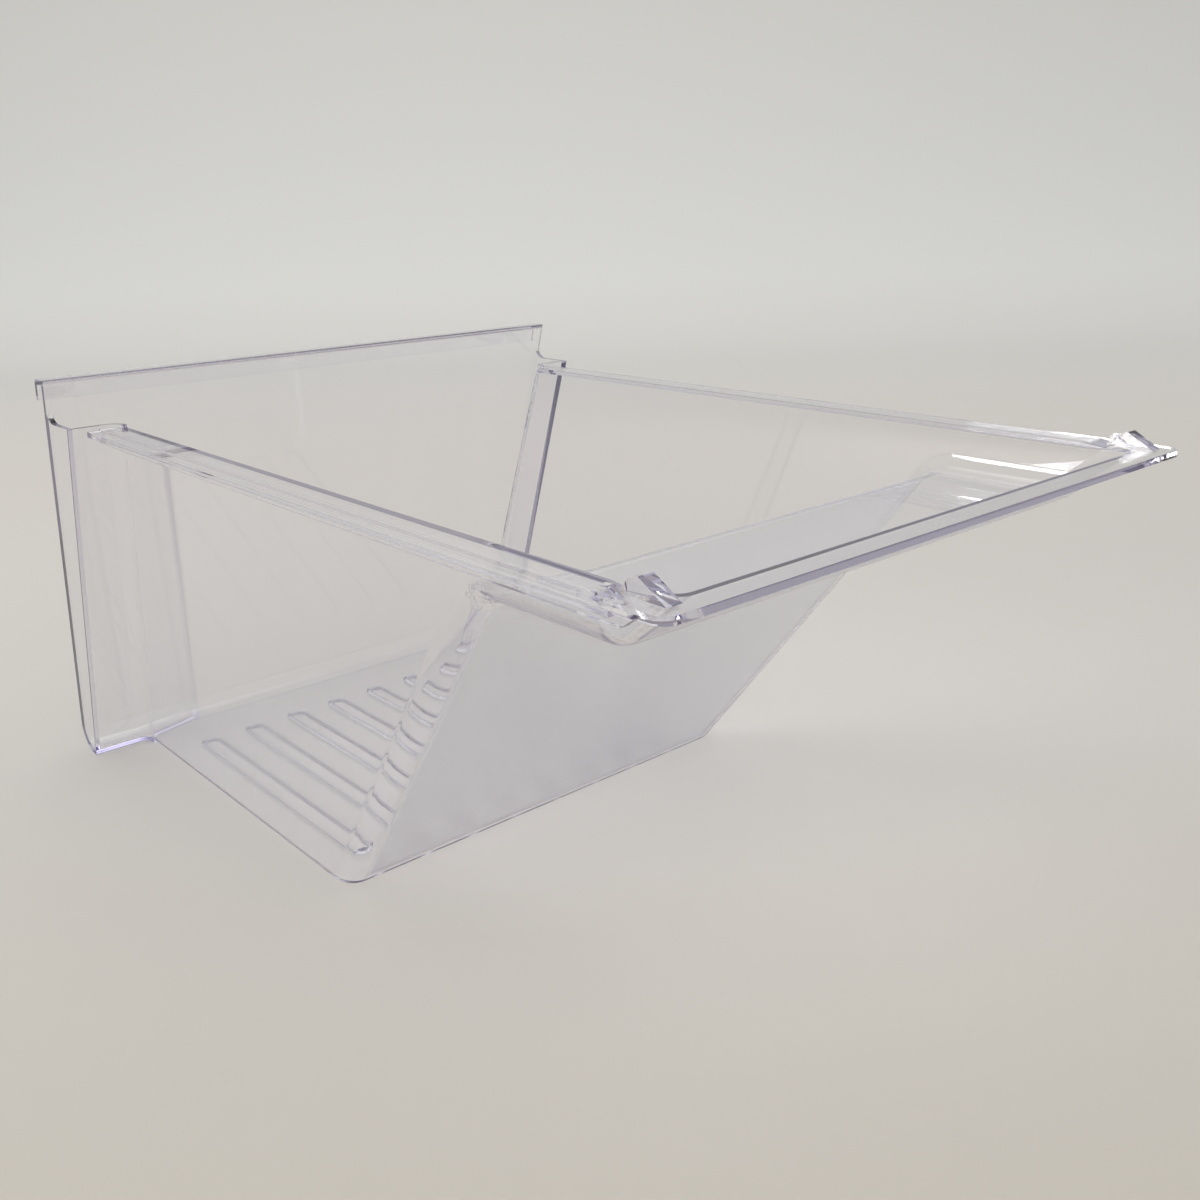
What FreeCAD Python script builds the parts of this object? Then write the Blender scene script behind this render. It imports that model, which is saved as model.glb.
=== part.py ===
# Clear moulded crisper drawer for a fridge, modelled as the one solid that it is moulded as.
# Frame: front of the drawer faces -Y, +X is to its right, +Z is up.
# Origin: middle of the bounding box, on the surface that the drawer stands on. Sizes in millimetres.
# A length "from the foot" starts where the front panel would meet the floor without its radius,
# and one "from the rear" starts at the outer edge of the rear flange.
import FreeCAD, Part
import math
import os

# Wall and overall sizes
wall = 2.5                # thickness of every moulded wall
overall_length = 440.6    # foremost point of the front panel to the outer edge of the rear flange
panel_height = 200.0      # floor to the top of the front panel
panel_top_width = 288.8
panel_foot_width = 278.0
panel_setback = 51.0      # how far the top of the front panel leans back from its foot
foot_radius = 12.0        # outside radius where the panel turns under into the floor

# Bin
rim_height = 178.6        # top face of the rails and the rear flange
floor_width = 221.0       # outside width at the floor
rim_width = 244.0         # outside width of the side walls at the rim
floor_length = 227.4      # from the foot to the sloped back
slope_angle = 52.0        # sloped back, in degrees above the floor
shelf_height = 160.0      # upper face of the shallow rear shelf
corner_radius = 10.0      # outside radius between the side walls and the sloped back, shelf and rear wall
floor_radius = 4.0        # outside radius round the floor
bend_radius = 15.0        # upper radius where the sloped back rolls over into the shelf
rear_lean = 1.3           # the wall behind the shelf runs back this far for each millimetre that it rises

# Front panel: wings that stand out past the side walls, and the grip along the top
wing_depth_rim = 29.5     # front face to the rear face of a wing, at the rim
wing_land = 3.0           # flat strip under a wing, behind the rounded foot
wing_rise = 1.6           # top of a wing above the rail
wing_turn_radius = 6.0    # outside radius of the turn from the side wall into the wing
wing_shoulder_radius = 8.0
grip_reach = 9.0          # grip lip, forwards of the panel
grip_drop = 10.0          # grip lip, top to lower edge
grip_radius = 3.0         # outer bend of the grip lip
least_radius = 0.5        # no bend inside the grip lip is tighter than this

# Rails along both sides
rail_width = 270.6        # over the outer faces of both rails
rail_strip = 5.3          # outer strip of the rail's top
rail_strip_drop = 0.6     # small step down to that strip
rail_lip_drop = 4.0       # rail top to the lower edge of its turned-down lip
rail_end = 17.0           # from the rear to the end of the rail's flat top
lip_run_in = 38.0         # length over which the lip grows to its full drop at the front
tongue_length = 10.5      # the lip runs on past the end of the rail's flat top
tongue_slant = 4.7        # length of the slanted end of that tongue

# Rear flange and the stops beside it
rear_flange = 10.1        # inner edge to outer edge, across the back
rear_width = 263.0        # over the flange beside the stops
rear_corner_radius = 4.5
detent_start = 32.0       # from the rear to the crease where the rail dips before the stop
detent_depth = 1.2
stop_start = 22.6         # from the rear to the stop's front face
stop_width = 5.5
stop_inset = 9.8          # rail's outer face to the outer face of the stop
stop_height = 5.8         # top of the stop above the rail
stop_rise = 3.4           # length of the stop's front face
stop_brow = 1.2           # the front edge of the stop's top, below its crest
stop_crest = 3.7          # length from that edge to the crest
stop_ramp = 10.0          # length of the stop's rear ramp
catch_start = 27.0        # from the rear to the small catch's front face
catch_width = 2.6
catch_height = 2.8        # top of the small catch above the rail
catch_gap = 1.8           # stop's outer face to the catch's inner face
catch_rise = 2.0
catch_crest = 2.3
catch_ramp = 8.3

# Raised ribs on the floor
rib_count = 8
rib_pitch = 25.0
rib_width = 11.5
rib_height = 2.2
rib_bevel = 1.4           # bevel round the top of a rib
rib_wall = 2.0            # wall left beside the hollow under a rib
rib_front = 47.0          # from the foot to the front end of the ribs
rib_rear_gap = 18.0       # rear end of the ribs to the foot of the sloped back

# Values worked out from the sizes above
lean = panel_setback / panel_height
lean_wall = wall * math.hypot(1, lean)
foot_reach = foot_radius / math.tan(math.atan2(1, lean) / 2)
front_y = -overall_length / 2 + foot_radius - foot_reach    # the foot
back_y = overall_length / 2
draft = (rim_width - floor_width) / 2 / rim_height
draft_wall = wall * math.hypot(1, draft)
slope = math.tan(math.radians(slope_angle))
rear_lean_wall = wall * math.hypot(1, rear_lean)
rail_half = rail_width / 2
panel_flare = (panel_top_width - panel_foot_width) / 2 / panel_height
wing_top = rim_height + wing_rise
wing_depth_foot = foot_reach + wing_land
wing_back_lean = lean + (wing_depth_rim - wing_depth_foot) / rim_height
wing_back_wall = wall * math.hypot(1, wing_back_lean)
cut_margin = 1.0          # tools that open a face reach this far past it
touch = 0.01              # an edge this close to a face counts as lying on it


def vec(x, y, z):
    return FreeCAD.Vector(x, y, z)


def side_profile(points, x_low, x_high):
    """Solid from a closed outline of (y, z) points, drawn across the drawer."""
    corners = [vec(x_low, y, z) for y, z in points]
    face = Part.Face(Part.makePolygon(corners + corners[:1]))
    return face.extrude(vec(x_high - x_low, 0, 0))


def rounded_side_profile(points, radii, x_low, x_high):
    """As side_profile, with an arc of the given radius at each corner; 0 keeps a corner sharp."""
    edges = []
    starts = []
    ends = []
    count = len(points)
    for i, (y, z) in enumerate(points):
        corner = vec(x_low, y, z)
        before = (vec(x_low, *points[i - 1]) - corner).normalize()
        after = (vec(x_low, *points[(i + 1) % count]) - corner).normalize()
        half_angle = before.getAngle(after) / 2
        reach = radii[i] / math.tan(half_angle)
        starts.append(corner + before * reach)
        ends.append(corner + after * reach)
        if radii[i]:
            middle = (before + after).normalize()
            crown = corner + middle * (radii[i] / math.sin(half_angle) - radii[i])
            edges.append(Part.Arc(starts[i], crown, ends[i]).toShape())
    for i in range(count):
        edges.append(Part.LineSegment(ends[i], starts[(i + 1) % count]).toShape())
    wire = Part.Wire(Part.__sortEdges__(edges))
    return Part.Face(wire).extrude(vec(x_high - x_low, 0, 0))


def block(x_low, x_high, y_low, y_high, z_low, z_high):
    return Part.makeBox(x_high - x_low, y_high - y_low, z_high - z_low, vec(x_low, y_low, z_low))


def frustum(lower, upper):
    """Solid between two loops of four points, each anticlockwise seen from above, with flat sides."""
    loops = [lower[::-1], upper]
    for i in range(4):
        j = (i + 1) % 4
        loops.append([lower[i], lower[j], upper[j], upper[i]])
    shell = Part.makeShell([Part.Face(Part.makePolygon(loop + loop[:1])) for loop in loops])
    shell.sewShape()
    return Part.makeSolid(shell)


def both_sides(shape):
    return [shape, shape.mirror(vec(0, 0, 0), vec(1, 0, 0))]


def panel_face(z):
    """Y of the front panel's outer face at a height."""
    return front_y + lean * z


def side_half(z):
    """Half of the bin's outside width at a height."""
    return floor_width / 2 + draft * z


def panel_half(z):
    """Half of the front panel's width at a height."""
    return panel_foot_width / 2 + panel_flare * z


def wing_back(z):
    """Y of the wings' rear face at a height."""
    return front_y + wing_depth_foot + wing_back_lean * z


def rear_face(z, inset):
    """Y of the wall behind the shelf at a height: its outside at inset 0, its inside at inset wall."""
    return back_y - rear_flange - rear_lean * (rim_height - z) + (1 - inset / wall) * rear_lean_wall


def drafted_block(outline, radii, half_low, half_high, z_low, z_high):
    """Side outline drawn across the drawer, with side faces that lean from one half width to another."""
    reach = panel_top_width
    depth = overall_length
    lower = [vec(x * half_low, y * depth, z_low) for x, y in ((-1, -1), (1, -1), (1, 1), (-1, 1))]
    upper = [vec(x * half_high, y * depth, z_high) for x, y in ((-1, -1), (1, -1), (1, 1), (-1, 1))]
    return rounded_side_profile(outline, radii, -reach, reach).common(frustum(lower, upper))


def bin_core(inset, top):
    """The bin as a solid block with sharp sides: the outside at inset 0, the hollow at inset wall."""
    shelf_under = shelf_height - wall + inset
    front_inset = inset / wall * lean_wall
    side_inset = inset / wall * draft_wall
    foot_y = front_y + floor_length - inset / math.sin(math.radians(slope_angle))
    outline = [
        (panel_face(inset) + front_inset, inset),
        (foot_y + inset / slope, inset),
        (foot_y + shelf_under / slope, shelf_under),
        (rear_face(shelf_under, inset), shelf_under),
        (rear_face(top, inset), top),
        (panel_face(top) + front_inset, top),
    ]
    radii = [foot_radius - inset, 0, bend_radius - wall + inset, 0, 0, 0]
    return drafted_block(outline, radii, side_half(inset) - side_inset, side_half(top) - side_inset, inset, top)


def picked_edges(solid, keep):
    """The edges of a solid that keep says yes to, given the edge's middle point."""
    chosen = []
    for edge in solid.Edges:
        middle = edge.valueAt((edge.FirstParameter + edge.LastParameter) / 2)
        if keep(middle):
            chosen.append(edge)
    return chosen


def round_edges(solid, radius, keep):
    return solid.makeFillet(radius, picked_edges(solid, keep))


def rounded_bin(inset, top):
    """The bin as a solid block with its corners rounded, then the edges round its floor."""
    foot_y = front_y + floor_length
    shelf_end = rear_face(shelf_height - wall + inset, inset)

    def high_corner(point):
        on_side = abs(point.x) > floor_width / 4
        return point.y > foot_y and point.z < top - touch and (on_side or point.y > shelf_end - touch)

    def floor_edge(point):
        on_front_line = point.y < front_y + rib_front and abs(point.x) < floor_width / 4
        return point.z < inset + touch and not on_front_line
    solid = round_edges(bin_core(inset, top), corner_radius - inset, high_corner)
    return round_edges(solid, floor_radius - inset, floor_edge)


def wing_core(inset, top):
    """The front panel with its wings as a solid block, in the same way as bin_core."""
    front_inset = inset / wall * lean_wall
    back_inset = inset / wall * wing_back_wall
    end_inset = inset * math.hypot(1, panel_flare)
    outline = [
        (panel_face(inset) + front_inset, inset),
        (wing_back(inset) - back_inset, inset),
        (wing_back(top) - back_inset, top),
        (panel_face(top) + front_inset, top),
    ]
    radii = [foot_radius - inset, 0, 0, 0]
    return drafted_block(outline, radii, panel_half(inset) - end_inset, panel_half(top) - end_inset, inset, top)


def panel_plate():
    """The front panel above the wings."""
    loops = []
    for z in (wing_top, panel_height):
        half = panel_half(z)
        y = panel_face(z)
        loops.append([vec(-half, y, z), vec(half, y, z), vec(half, y + lean_wall, z), vec(-half, y + lean_wall, z)])
    return frustum(*loops)


def grip_lip():
    """Lip along the top of the panel, turned forwards and down beside it for the fingers."""
    top = panel_height
    under = top - wall
    low = top - grip_drop
    outline = [
        (panel_face(top) + lean_wall, top),
        (panel_face(top) - grip_reach, top),
        (panel_face(low) - grip_reach, low),
        (panel_face(low) - grip_reach + lean_wall, low),
        (panel_face(under) - grip_reach + lean_wall, under),
        (panel_face(under) + lean_wall, under),
    ]
    inner_bend = max(grip_radius - wall, least_radius)
    radii = [0, grip_radius, 0, 0, inner_bend, 0]
    return drafted_block(outline, radii, panel_half(low), panel_half(top), low, top)


def wing_shoulders():
    """Round the inner corner where the end of each wing meets the upper panel."""
    r = wing_shoulder_radius
    top = wing_top + r
    foot_y = panel_face(wing_top) + lean_wall
    head_y = panel_face(top) + lean_wall
    reach = panel_top_width
    corner = side_profile([(foot_y, wing_top), (foot_y + r, wing_top), (foot_y + r, top), (head_y, top)],
                          -reach, reach)
    scoop = Part.makeCylinder(r, 2 * reach, vec(-reach, foot_y + r, top), vec(1, 0, 0))
    ends = wing_core(0, top).cut(wing_core(wall, top + cut_margin))
    return corner.cut(scoop).common(ends)


def rail():
    """Rail along the right-hand side: a flat top, a lower outer strip and a lip turned down at its edge."""
    start_y = wing_back(rim_height) - wall
    end_y = back_y - rail_end
    tip_y = end_y + tongue_length
    under = rim_height - wall
    strip_top = rim_height - rail_strip_drop
    strip_x = rail_half - rail_strip
    lip_low = rim_height - rail_lip_drop
    flat_top = block(side_half(rim_height) - wall, strip_x, start_y, end_y, under, rim_height)
    strip = block(strip_x - wall, rail_half, start_y, end_y, strip_top - wall, strip_top)
    outline = [
        (start_y, strip_top),
        (start_y, strip_top - wall),
        (start_y + wall, strip_top - wall),
        (start_y + lip_run_in, lip_low),
        (tip_y - tongue_slant, lip_low),
        (tip_y, strip_top),
    ]
    lip = side_profile(outline, rail_half - wall, rail_half)
    return flat_top.fuse([strip, lip])


def rear_flange_plate():
    """Flange round the back of the bin, with rounded corners."""
    half = rear_width / 2
    plate = block(-half, half, back_y - detent_start, back_y, rim_height - wall, rim_height)

    def keep(point):
        return point.y > back_y - touch and abs(point.x) > half - touch
    return round_edges(plate, rear_corner_radius, keep)


def detent():
    """Wedge cut from the rail's top, so that it dips just before the stop."""
    start_y = back_y - detent_start
    end_y = back_y - stop_start
    outline = [(start_y, rim_height), (end_y, rim_height - detent_depth),
               (end_y, rim_height + cut_margin), (start_y, rim_height + cut_margin)]
    return side_profile(outline, side_half(rim_height) - draft_wall - cut_margin, rail_half - wall)


def stop():
    """Stop that keeps the drawer from running out: steep in front, a ramp behind."""
    outer_x = rail_half - stop_inset
    foot_y = back_y - stop_start
    foot_z = rim_height - wall
    top_z = rim_height + stop_height
    brow_y = foot_y + stop_rise
    crest_y = brow_y + stop_crest
    outline = [(foot_y, foot_z), (foot_y, rim_height), (brow_y, top_z - stop_brow), (crest_y, top_z),
               (crest_y + stop_ramp, rim_height), (crest_y + stop_ramp, foot_z)]
    return side_profile(outline, outer_x - stop_width, outer_x)


def catch():
    """Small ramped catch on the rail's end, beside the stop."""
    inner_x = rail_half - stop_inset + catch_gap
    foot_y = back_y - catch_start
    foot_z = rim_height - wall
    top_z = rim_height + catch_height
    crest_y = foot_y + catch_rise + catch_crest
    outline = [(foot_y, foot_z), (foot_y, rim_height - detent_depth), (foot_y + catch_rise, top_z),
               (crest_y, top_z), (crest_y + catch_ramp, foot_z)]
    return side_profile(outline, inner_x, inner_x + catch_width)


def rib_pad(middle_x, half_width, z_low, z_high):
    """Long pad with round ends, running from the front of the floor to the back."""
    front_end = front_y + rib_front + rib_width / 2
    rear_end = front_y + floor_length - rib_rear_gap - rib_width / 2
    height = z_high - z_low
    pad = block(middle_x - half_width, middle_x + half_width, front_end, rear_end, z_low, z_high)
    ends = [Part.makeCylinder(half_width, height, vec(middle_x, y, z_low)) for y in (front_end, rear_end)]
    return pad.fuse(ends).removeSplitter()


def rib_places():
    first = -(rib_count - 1) / 2 * rib_pitch
    return [first + i * rib_pitch for i in range(rib_count)]


def raised_rib(middle_x):
    top = wall + rib_height
    pad = rib_pad(middle_x, rib_width / 2, wall / 2, top)

    def keep(point):
        return point.z > top - touch
    return pad.makeChamfer(rib_bevel, picked_edges(pad, keep))


def rib_hollow(middle_x):
    return rib_pad(middle_x, rib_width / 2 - rib_wall, -cut_margin, rib_height)


def wing_turn_web(side_inset, back_inset, radius, z_low, z_high):
    """Rounds the turn from the right-hand side wall into the back of its wing, from one height to another."""
    def corner(z):
        return vec(side_half(z) - side_inset, wing_back(z) - back_inset, z)
    foot = corner(z_low)
    x, y = foot.x, foot.y
    bulge = radius * (1 - math.sqrt(0.5))
    arc = Part.Arc(vec(x + radius, y, z_low), vec(x + bulge, y + bulge, z_low), vec(x, y + radius, z_low))
    sunk = [vec(x, y + radius, z_low), vec(x - wall, y + radius, z_low), vec(x - wall, y - wall / 2, z_low),
            vec(x + radius, y - wall / 2, z_low), vec(x + radius, y, z_low)]
    wire = Part.Wire([arc.toShape()] + Part.makePolygon(sunk).Edges)
    return Part.Face(wire).extrude(corner(z_high) - foot)


def hollow():
    """Everything that is open inside the drawer."""
    top = wing_top + cut_margin
    turns = both_sides(wing_turn_web(draft_wall, wing_back_wall, wing_turn_radius + wall, wall, top))
    return rounded_bin(wall, top).fuse([wing_core(wall, top)] + turns)


def drawer():
    body = rounded_bin(0, rim_height)
    additions = [wing_core(0, wing_top), panel_plate(), grip_lip(), wing_shoulders(), rear_flange_plate()]
    additions += both_sides(wing_turn_web(0, 0, wing_turn_radius, 0, wing_top))
    additions += both_sides(rail())
    body = body.fuse(additions)
    body = body.cut([hollow()] + both_sides(detent()))
    body = body.fuse(both_sides(stop()) + both_sides(catch()))
    places = rib_places()
    body = body.fuse([raised_rib(x) for x in places])
    body = body.cut([rib_hollow(x) for x in places])
    return body.removeSplitter()


os.makedirs("parts", exist_ok=True)
shape = drawer()
solid = shape.Solids[0]
solid.exportStep("parts/drawer.step")
box = solid.BoundBox
print("solids", len(shape.Solids), "valid", solid.isValid(), "volume cm3", round(solid.Volume / 1000, 1))
print("size", round(box.XLength, 2), round(box.YLength, 2), round(box.ZLength, 2),
      "centre of mass", [round(v, 1) for v in solid.CenterOfMass])
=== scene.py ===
import math
import bpy
import bmesh
from mathutils import Matrix, Vector


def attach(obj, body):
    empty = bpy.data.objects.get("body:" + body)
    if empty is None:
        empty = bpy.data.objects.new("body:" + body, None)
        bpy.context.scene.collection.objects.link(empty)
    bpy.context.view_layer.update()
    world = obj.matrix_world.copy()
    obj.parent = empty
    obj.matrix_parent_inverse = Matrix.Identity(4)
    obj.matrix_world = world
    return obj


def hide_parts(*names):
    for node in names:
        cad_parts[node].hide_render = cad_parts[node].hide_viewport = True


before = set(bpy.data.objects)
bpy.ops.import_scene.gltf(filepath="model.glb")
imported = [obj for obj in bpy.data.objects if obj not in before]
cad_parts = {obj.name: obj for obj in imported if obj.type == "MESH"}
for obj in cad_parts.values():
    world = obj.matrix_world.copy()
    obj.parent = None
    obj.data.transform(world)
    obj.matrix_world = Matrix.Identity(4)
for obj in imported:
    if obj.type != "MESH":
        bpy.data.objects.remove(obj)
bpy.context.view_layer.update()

bpy.context.scene.view_settings.view_transform = "Standard"


# helpers

def linkNew(name, mesh):
    obj = bpy.data.objects.new(name, mesh)
    bpy.context.scene.collection.objects.link(obj)
    return obj


def addNode(nodes, kind, values=None, **settings):
    node = nodes.new(kind)
    for name, value in settings.items():
        setattr(node, name, value)
    for name, value in (values or {}).items():
        node.inputs[name].default_value = value
    return node


def newMaterial(name):
    material = bpy.data.materials.new(name)
    material.use_nodes = True
    material.node_tree.nodes.clear()
    return material, material.node_tree.nodes, material.node_tree.links


def bake(obj):
    # turns what the modifiers make into the object's own mesh
    graph = bpy.context.evaluated_depsgraph_get()
    mesh = bpy.data.meshes.new_from_object(obj.evaluated_get(graph))
    obj.modifiers.clear()
    obj.data = mesh


# camera, at the photograph's angle; the frame is 1200 x 1200

viewpoint = {
    "place": (0.3172, 0.4146, 0.2733),
    "yaw": -0.7076,      # from -Y, towards the drawer's left
    "pitch": 0.3216,     # down
    "roll": -0.0300,
    "lens": 36.62,
    "sensor": 36.0,
}


def makeCamera(v):
    aim = Vector((math.sin(v["yaw"]) * math.cos(v["pitch"]),
                  -math.cos(v["yaw"]) * math.cos(v["pitch"]),
                  -math.sin(v["pitch"])))
    level = aim.cross(Vector((0, 0, 1))).normalized()
    upright = level.cross(aim)
    right = math.cos(v["roll"]) * level + math.sin(v["roll"]) * upright
    up = math.cos(v["roll"]) * upright - math.sin(v["roll"]) * level
    data = bpy.data.cameras.new("camera")
    data.lens = v["lens"]
    data.sensor_width = v["sensor"]
    camera = bpy.data.objects.new("camera", data)
    bpy.context.scene.collection.objects.link(camera)
    turn = Matrix((right, up, -aim)).transposed().to_4x4()
    camera.matrix_world = Matrix.Translation(v["place"]) @ turn
    bpy.context.scene.camera = camera


makeCamera(viewpoint)
print("camera ready")


# clear plastic: polished walls, and a fine matt texture on the sloped back and the shelf

plastic = {
    "ior": 1.57,
    "pure": (0.997, 0.997, 1.0, 1.0),
    "cloudy": (0.985, 0.984, 0.996, 1.0),    # faint streaks from the way the melt ran
    "streaks": (20.0, 4.8, 12.0),            # per metre, across, along and up
    "polish": 0.02,                          # roughness of clean walls
    "handled": 0.06,                         # roughness where use has dulled them
    "handledScale": 9.0,                     # per metre
    "handledRange": (0.45, 0.75),            # noise values between which the walls go dull
    "matt": 0.21,                            # roughness of the textured outside of the back and shelf
    "depthTint": (0.60, 0.57, 0.77, 1.0),    # what a long way through the plastic takes on
    "depthDensity": 18.0,
    "shade": (0.925, 0.925, 0.94, 1.0),      # lamp light that passes straight through
    "echoes": 2.5,                           # light that has gone to and fro in a wall more often than this
    "echoTint": (0.60, 0.58, 0.69, 1.0),     # comes out in this colour
    "echoMatt": (0.95, 0.95, 0.955, 1.0),    # or in this one from the sloped back
    "wave": 14.0,                            # per metre: the walls aren't dead flat
    "waveDepth": 0.00003,
    "grain": 1400.0,                         # per metre: the matt texture
    "grainDepth": 0.000004,
}

# where the sloped back and the texture begin and end; each pair is where a fade starts and stops
zone = {
    "outwards": (0.0, 0.788, -0.616),        # square to the sloped back
    "outside": (0.1, 0.3),                   # how far a face looks that way
    "wallAtFloor": 0.1105,                   # half width over the side walls, at the floor
    "wallLean": 0.0644,                      # and what it gains for each metre up
    "sides": (0.008, 0.011),                 # in from the side walls
    "front": (0.001, 0.003),                 # back from the middle
    "floor": (0.003, 0.005),                 # the rest are heights
    "shelf": (0.155, 0.158),
    "rim": (0.1735, 0.1755),
}


def addRange(nodes, links, source, low, high, fromOne=False):
    # 0 below low, 1 above high, or the other way round
    ends = (1.0, 0.0) if fromOne else (0.0, 1.0)
    node = addNode(nodes, "ShaderNodeMapRange", {"From Min": low, "From Max": high,
                                                 "To Min": ends[0], "To Max": ends[1]})
    links.new(source, node.inputs["Value"])
    return node.outputs["Result"]


def addMath(nodes, links, operation, *sources):
    node = addNode(nodes, "ShaderNodeMath", operation=operation)
    for i, source in enumerate(sources):
        if isinstance(source, (int, float)):
            node.inputs[i].default_value = source
        else:
            links.new(source, node.inputs[i])
    return node.outputs["Value"]


def mattZone(z, nodes, links, where):
    # first the sloped back, both faces; then the outside of the back, the shelf and the wall behind it
    split = nodes.new("ShaderNodeSeparateXYZ")
    links.new(where.outputs["Object"], split.inputs["Vector"])
    facing = addNode(nodes, "ShaderNodeVectorMath", operation="DOT_PRODUCT")
    facing.inputs[1].default_value = z["outwards"]
    links.new(where.outputs["Normal"], facing.inputs[0])
    outside = addRange(nodes, links, facing.outputs["Value"], *z["outside"])
    outer = addMath(nodes, links, "MULTIPLY_ADD", split.outputs["Z"], z["wallLean"], z["wallAtFloor"])
    inside = addMath(nodes, links, "SUBTRACT", outer, addMath(nodes, links, "ABSOLUTE", split.outputs["X"]))
    fromSides = addRange(nodes, links, inside, *z["sides"])
    fromFront = addRange(nodes, links, split.outputs["Y"], *z["front"])
    fromFloor = addRange(nodes, links, split.outputs["Z"], *z["floor"])
    underRim = addRange(nodes, links, split.outputs["Z"], *z["rim"], fromOne=True)
    underShelf = addRange(nodes, links, split.outputs["Z"], *z["shelf"], fromOne=True)
    across = addMath(nodes, links, "MULTIPLY", fromSides, fromFront)
    above = addMath(nodes, links, "MULTIPLY", across, fromFloor)
    back = addMath(nodes, links, "MULTIPLY", above, underShelf)
    rear = addMath(nodes, links, "MULTIPLY", above, underRim)
    return back, addMath(nodes, links, "MULTIPLY", outside, rear)


def clearPlastic(p, z):
    material, nodes, links = newMaterial("clear_plastic")
    out = nodes.new("ShaderNodeOutputMaterial")
    where = nodes.new("ShaderNodeTexCoord")
    place = where.outputs["Object"]
    back, matt = mattZone(z, nodes, links, where)

    stretch = addNode(nodes, "ShaderNodeMapping", {"Scale": p["streaks"]})
    links.new(place, stretch.inputs["Vector"])
    melt = addNode(nodes, "ShaderNodeTexNoise", {"Scale": 1.0, "Detail": 3.0})
    links.new(stretch.outputs["Vector"], melt.inputs["Vector"])
    colour = addNode(nodes, "ShaderNodeMix", data_type="RGBA")
    colour.inputs["A"].default_value = p["pure"]
    colour.inputs["B"].default_value = p["cloudy"]
    links.new(melt.outputs["Fac"], colour.inputs["Factor"])

    hands = addNode(nodes, "ShaderNodeTexNoise", {"Scale": p["handledScale"], "Detail": 5.0})
    links.new(place, hands.inputs["Vector"])
    low, high = p["handledRange"]
    dull = addNode(nodes, "ShaderNodeMapRange", {"From Min": low, "From Max": high,
                                                 "To Min": p["polish"], "To Max": p["handled"]})
    links.new(hands.outputs["Fac"], dull.inputs["Value"])
    rough = addNode(nodes, "ShaderNodeMix", data_type="FLOAT")
    rough.inputs["B"].default_value = p["matt"]
    links.new(matt, rough.inputs["Factor"])
    links.new(dull.outputs["Result"], rough.inputs["A"])

    wave = addNode(nodes, "ShaderNodeTexNoise", {"Scale": p["wave"], "Detail": 1.0})
    links.new(place, wave.inputs["Vector"])
    grain = addNode(nodes, "ShaderNodeTexNoise", {"Scale": p["grain"], "Detail": 2.0})
    links.new(place, grain.inputs["Vector"])
    masked = addMath(nodes, links, "MULTIPLY", grain.outputs["Fac"], matt)
    texture = addMath(nodes, links, "MULTIPLY", masked, p["grainDepth"])
    height = addMath(nodes, links, "MULTIPLY_ADD", wave.outputs["Fac"], p["waveDepth"], texture)
    bump = addNode(nodes, "ShaderNodeBump", {"Strength": 1.0, "Distance": 1.0})
    links.new(height, bump.inputs["Height"])

    shader = addNode(nodes, "ShaderNodeBsdfPrincipled", {"IOR": p["ior"], "Transmission Weight": 1.0})
    links.new(colour.outputs["Result"], shader.inputs["Base Color"])
    links.new(rough.outputs["Result"], shader.inputs["Roughness"])
    links.new(bump.outputs["Normal"], shader.inputs["Normal"])

    # light that goes to and fro in a wall comes out, as it does in the end; in the back, one turn sooner
    path = nodes.new("ShaderNodeLightPath")
    turns = addMath(nodes, links, "ADD", path.outputs["Glossy Depth"], back)
    trapped = addMath(nodes, links, "GREATER_THAN", turns, p["echoes"])
    echo = addNode(nodes, "ShaderNodeMix", data_type="RGBA")
    echo.inputs["A"].default_value = p["echoTint"]
    echo.inputs["B"].default_value = p["echoMatt"]
    links.new(back, echo.inputs["Factor"])
    spent = nodes.new("ShaderNodeBsdfTransparent")
    links.new(echo.outputs["Result"], spent.inputs["Color"])
    release = nodes.new("ShaderNodeMixShader")
    links.new(trapped, release.inputs[0])
    links.new(shader.outputs["BSDF"], release.inputs[1])
    links.new(spent.outputs["BSDF"], release.inputs[2])

    # lamps light the table through the walls
    through = addNode(nodes, "ShaderNodeBsdfTransparent", {"Color": p["shade"]})
    pick = nodes.new("ShaderNodeMixShader")
    links.new(path.outputs["Is Shadow Ray"], pick.inputs[0])
    links.new(release.outputs["Shader"], pick.inputs[1])
    links.new(through.outputs["BSDF"], pick.inputs[2])
    links.new(pick.outputs["Shader"], out.inputs["Surface"])
    depth = addNode(nodes, "ShaderNodeVolumeAbsorption", {"Color": p["depthTint"], "Density": p["depthDensity"]})
    links.new(depth.outputs["Volume"], out.inputs["Volume"])
    return material


clear = clearPlastic(plastic, zone)
print("plastic ready")


# the floor's ribs, and the hollows under them

ribs = {
    "count": 8,
    "pitch": 0.025,
    "front": -0.17674,
    "rear": -0.01434,
    "pad": {"Width": 0.0115, "Top": 0.0047, "Edge": 0.0019},
    "hollow": {"Width": 0.0075, "Top": 0.0022, "Edge": 0.0014},
    "around": 24,        # steps round an end
    "over": 16,          # steps round the edge's section
}


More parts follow.
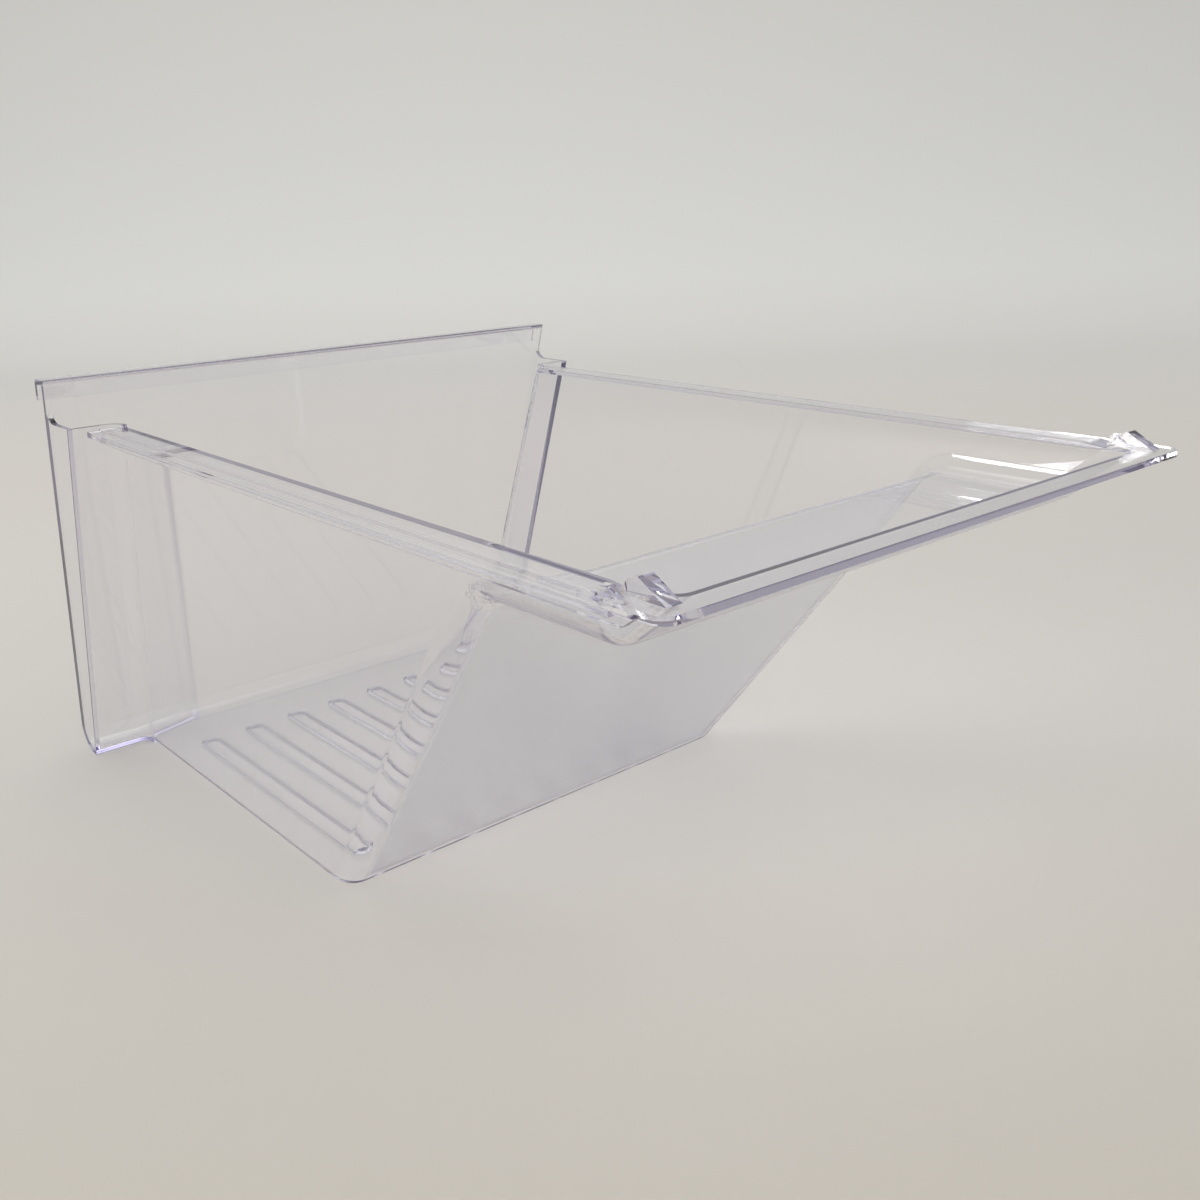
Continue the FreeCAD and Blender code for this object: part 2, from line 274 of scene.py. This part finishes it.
def ribTree(r):
    tree = bpy.data.node_groups.new("rib row", "GeometryNodeTree")
    tree.is_modifier = True
    sockets = {}
    for name, kind in (("Count", "Int"), ("Pitch", "Float"), ("Front", "Float"), ("Rear", "Float"),
                       ("Width", "Float"), ("Top", "Float"), ("Edge", "Float"), ("Plastic", "Material")):
        sockets[name] = tree.interface.new_socket(name, in_out="INPUT", socket_type="NodeSocket" + kind).identifier
    tree.interface.new_socket("Ribs", in_out="OUTPUT", socket_type="NodeSocketGeometry")
    nodes, links = tree.nodes, tree.links
    size = nodes.new("NodeGroupInput").outputs
    half = addMath(nodes, links, "MULTIPLY", size["Width"], 0.5)

    # a ring at each end, and the hull over both is a pad with a rounded edge
    ring = addNode(nodes, "GeometryNodeCurvePrimitiveCircle", {"Resolution": r["around"]})
    links.new(addMath(nodes, links, "SUBTRACT", half, size["Edge"]), ring.inputs["Radius"])
    section = addNode(nodes, "GeometryNodeCurvePrimitiveCircle", {"Resolution": r["over"]})
    links.new(size["Edge"], section.inputs["Radius"])
    tube = nodes.new("GeometryNodeCurveToMesh")
    links.new(ring.outputs["Curve"], tube.inputs["Curve"])
    links.new(section.outputs["Curve"], tube.inputs["Profile Curve"])
    level = addMath(nodes, links, "SUBTRACT", size["Top"], size["Edge"])
    both = nodes.new("GeometryNodeJoinGeometry")
    for end, operation in (("Front", "ADD"), ("Rear", "SUBTRACT")):
        spot = nodes.new("ShaderNodeCombineXYZ")
        links.new(addMath(nodes, links, operation, size[end], half), spot.inputs["Y"])
        links.new(level, spot.inputs["Z"])
        move = nodes.new("GeometryNodeTransform")
        links.new(tube.outputs["Mesh"], move.inputs["Geometry"])
        links.new(spot.outputs["Vector"], move.inputs["Translation"])
        links.new(move.outputs["Geometry"], both.inputs["Geometry"])
    hull = nodes.new("GeometryNodeConvexHull")
    links.new(both.outputs["Geometry"], hull.inputs["Geometry"])

    # one for each place in the row
    gaps = addMath(nodes, links, "SUBTRACT", size["Count"], 1.0)
    first = nodes.new("ShaderNodeCombineXYZ")
    span = addMath(nodes, links, "MULTIPLY", gaps, size["Pitch"])
    links.new(addMath(nodes, links, "MULTIPLY", span, -0.5), first.inputs["X"])
    step = nodes.new("ShaderNodeCombineXYZ")
    links.new(size["Pitch"], step.inputs["X"])
    row = nodes.new("GeometryNodeMeshLine")
    links.new(size["Count"], row.inputs["Count"])
    links.new(first.outputs["Vector"], row.inputs["Start Location"])
    links.new(step.outputs["Vector"], row.inputs["Offset"])
    place = nodes.new("GeometryNodeInstanceOnPoints")
    links.new(row.outputs["Mesh"], place.inputs["Points"])
    links.new(hull.outputs["Convex Hull"], place.inputs["Instance"])
    real = nodes.new("GeometryNodeRealizeInstances")
    links.new(place.outputs["Instances"], real.inputs["Geometry"])
    paint = nodes.new("GeometryNodeSetMaterial")
    links.new(real.outputs["Geometry"], paint.inputs["Geometry"])
    links.new(size["Plastic"], paint.inputs["Material"])
    out = nodes.new("NodeGroupOutput")
    links.new(paint.outputs["Geometry"], out.inputs["Ribs"])
    return tree, sockets


def makeRibs(name, tree, sockets, shape, r, material):
    obj = linkNew(name, bpy.data.meshes.new(name))
    row = obj.modifiers.new("row", "NODES")
    row.node_group = tree
    values = dict(shape, Count=r["count"], Pitch=r["pitch"], Front=r["front"], Rear=r["rear"], Plastic=material)
    for key, value in values.items():
        row[sockets[key]] = value
    bake(obj)
    return obj


tree, sockets = ribTree(ribs)
pads = makeRibs("rib_pads", tree, sockets, ribs["pad"], ribs, clear)
inset = (ribs["pad"]["Width"] - ribs["hollow"]["Width"]) / 2
hollowEnds = dict(ribs, front=ribs["front"] + inset, rear=ribs["rear"] - inset)
hollows = makeRibs("rib_hollows", tree, sockets, ribs["hollow"], hollowEnds, clear)
print("ribs ready", len(pads.data.polygons), "faces")


# the drawer: the moulding's form from the frame, with the ribs rounded and every edge softened a little

shell = {
    "weld": 1e-6,
    "flat": math.radians(0.3),      # faces closer than this are one flat face
    "crease": math.radians(28.0),   # edges sharper than this get softened
    "softEdge": 0.0004,
    "softSteps": 2,
    "largeFirst": 100,              # how much the larger faces count in the normals
    "floorTop": 0.0025,
    "near": 2e-5,
}


def plainFloor(edit, s, r):
    # takes out the plain ribs with the floor's two flat faces, and closes the two gaps
    reach = r["count"] * r["pitch"] / 2

    def isFlat(face):
        return any(all(abs(v.co.z - height) < s["near"] for v in face.verts) for height in (0.0, s["floorTop"]))

    def isRib(face):
        return all(abs(v.co.x) < reach and r["front"] - s["near"] < v.co.y < r["rear"] + s["near"]
                   and v.co.z < r["pad"]["Top"] + s["near"] for v in face.verts)

    spare = [f for f in edit.faces if isFlat(f) or isRib(f)]
    bmesh.ops.delete(edit, geom=spare, context="FACES")
    rims = [e for e in edit.edges if e.is_boundary]
    bmesh.ops.holes_fill(edit, edges=rims, sides=0)
    bmesh.ops.recalc_face_normals(edit, faces=edit.faces)


def makeShell(s, r, material, pads, hollows):
    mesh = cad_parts["drawer"].data.copy()
    mesh.materials.clear()
    mesh.materials.append(material)
    edit = bmesh.new()
    edit.from_mesh(mesh)
    bmesh.ops.remove_doubles(edit, verts=edit.verts, dist=s["weld"])
    bmesh.ops.dissolve_limit(edit, angle_limit=s["flat"], verts=edit.verts, edges=edit.edges)
    plainFloor(edit, s, r)
    edit.to_mesh(mesh)
    edit.free()
    drawer = linkNew("drawer_shell", mesh)
    for other, operation in ((pads, "UNION"), (hollows, "DIFFERENCE")):
        join = drawer.modifiers.new(operation.lower(), "BOOLEAN")
        join.operation = operation
        join.solver = "EXACT"
        join.object = other
    bake(drawer)
    for other in (pads, hollows):
        bpy.data.objects.remove(other)
    soft = drawer.modifiers.new("soft edges", "BEVEL")
    soft.width = s["softEdge"]
    soft.segments = s["softSteps"]
    soft.limit_method = "ANGLE"
    soft.angle_limit = s["crease"]
    bake(drawer)
    drawer.data.shade_smooth()
    normals = drawer.modifiers.new("even normals", "WEIGHTED_NORMAL")
    normals.weight = s["largeFirst"]
    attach(drawer, "root")
    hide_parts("drawer")
    return drawer


drawer = makeShell(shell, ribs, clear, pads, hollows)
print("drawer ready", len(drawer.data.polygons), "faces")


# table and backdrop in one sweep, pale grey far away and warmer near the camera; its colour also carries painted
# shade, darker towards the camera and paler far off

sweep = {
    "level": -0.0006,                   # a hair of air under the drawer's floor
    "tonesAndShade": [                          # metres towards the camera, and the colour there, painted shade included
        (0.45, (0.470, 0.428, 0.360)),
        (-0.05, (0.525, 0.505, 0.468)),
        (-0.80, (0.600, 0.568, 0.525)),
        (-1.60, (0.680, 0.665, 0.630)),
        (-2.00, (0.720, 0.714, 0.680)),
        (-2.30, (0.690, 0.685, 0.655)),
    ],
    "upper": (0.96, 0.955, 0.94, 1.0),  # painted light: near white above the picture, where the drawer mirrors it
    "rise": (0.75, 1.15),               # heights between which the backdrop turns to that painted light
    "rough": 0.7,
    "shine": 0.1,
    "front": 7.0,                       # towards the camera
    "back": 1.6,                        # away from it, to where the sweep turns up
    "turn": 0.8,                        # radius of the turn
    "top": 2.4,
    "half": 9.0,                        # to each side
    "steps": 24,                        # in the turn
}


def makeSweep(s, yaw):
    aim = Vector((math.sin(yaw), -math.cos(yaw), 0))
    side = Vector((aim.y, -aim.x, 0))
    line = [(-s["front"], s["level"]), (s["back"], s["level"])]
    for i in range(1, s["steps"] + 1):
        a = math.pi / 2 * i / s["steps"]
        line.append((s["back"] + s["turn"] * math.sin(a), s["level"] + s["turn"] * (1 - math.cos(a))))
    line.append((s["back"] + s["turn"], s["top"]))
    edit = bmesh.new()
    rows = [[edit.verts.new(aim * along + side * (s["half"] * end) + Vector((0, 0, up))) for along, up in line]
            for end in (-1, 1)]
    for i in range(len(line) - 1):
        edit.faces.new((rows[0][i], rows[1][i], rows[1][i + 1], rows[0][i + 1])).smooth = True
    bmesh.ops.recalc_face_normals(edit, faces=edit.faces)
    mesh = bpy.data.meshes.new("sweep")
    edit.to_mesh(mesh)
    edit.free()
    material, nodes, links = newMaterial("table")
    out = nodes.new("ShaderNodeOutputMaterial")
    shader = addNode(nodes, "ShaderNodeBsdfPrincipled", {"Roughness": s["rough"], "Specular IOR Level": s["shine"]})
    place = nodes.new("ShaderNodeTexCoord")
    turned = addNode(nodes, "ShaderNodeMapping", {"Rotation": (0, 0, -yaw)})
    split = nodes.new("ShaderNodeSeparateXYZ")
    # the ramp paints the table's colour together with painted shade: darker near the camera, paler far off
    first, last = s["tonesAndShade"][0][0], s["tonesAndShade"][-1][0]
    ramp = nodes.new("ShaderNodeValToRGB")
    stops = ramp.color_ramp.elements
    while len(stops) < len(s["tonesAndShade"]):
        stops.new(1.0)
    for stop, (depth, colour) in zip(stops, s["tonesAndShade"]):
        stop.position = (depth - first) / (last - first)
        stop.color = (*colour, 1.0)
    links.new(place.outputs["Object"], turned.inputs["Vector"])
    links.new(turned.outputs["Vector"], split.inputs["Vector"])
    links.new(addRange(nodes, links, split.outputs["Y"], first, last), ramp.inputs["Fac"])
    # painted light: above the picture the backdrop turns near white, for the drawer to mirror
    paintedLift = addNode(nodes, "ShaderNodeMix", data_type="RGBA")
    paintedLift.inputs["B"].default_value = s["upper"]
    links.new(addRange(nodes, links, split.outputs["Z"], *s["rise"]), paintedLift.inputs["Factor"])
    links.new(ramp.outputs["Color"], paintedLift.inputs["A"])
    links.new(paintedLift.outputs["Result"], shader.inputs["Base Color"])
    links.new(shader.outputs["BSDF"], out.inputs["Surface"])
    mesh.materials.append(material)
    obj = linkNew("sweep", mesh)


makeSweep(sweep, viewpoint["yaw"])


# soft studio light: an even room, a window on the drawer's right and a pale ceiling

light = {
    "sky": (0.97, 0.98, 1.0, 1.0),
    "skyStrength": 0.765,
    "lamps": [
        {"name": "window", "place": (1.7, -0.57, 0.55), "target": (0, 0, 0.1), "size": (0.8, 0.6), "watts": 16},
        {"name": "ceiling", "place": (0.1, 0.1, 2.2), "target": (0, 0, 0), "size": (2.0, 2.0), "watts": 18},
    ],
}


def makeLight(room):
    world = bpy.data.worlds.new("studio")
    bpy.context.scene.world = world
    world.use_nodes = True
    sky = world.node_tree.nodes["Background"]
    sky.inputs["Color"].default_value = room["sky"]
    sky.inputs["Strength"].default_value = room["skyStrength"]
    for lamp in room["lamps"]:
        data = bpy.data.lights.new(lamp["name"], "AREA")
        data.shape = "RECTANGLE"
        data.size, data.size_y = lamp["size"]
        data.energy = lamp["watts"]
        obj = bpy.data.objects.new(lamp["name"], data)
        obj.location = lamp["place"]
        obj.rotation_euler = (Vector(lamp["target"]) - Vector(lamp["place"])).to_track_quat("-Z", "Y").to_euler()
        bpy.context.scene.collection.objects.link(obj)


makeLight(light)
print("table and light ready")
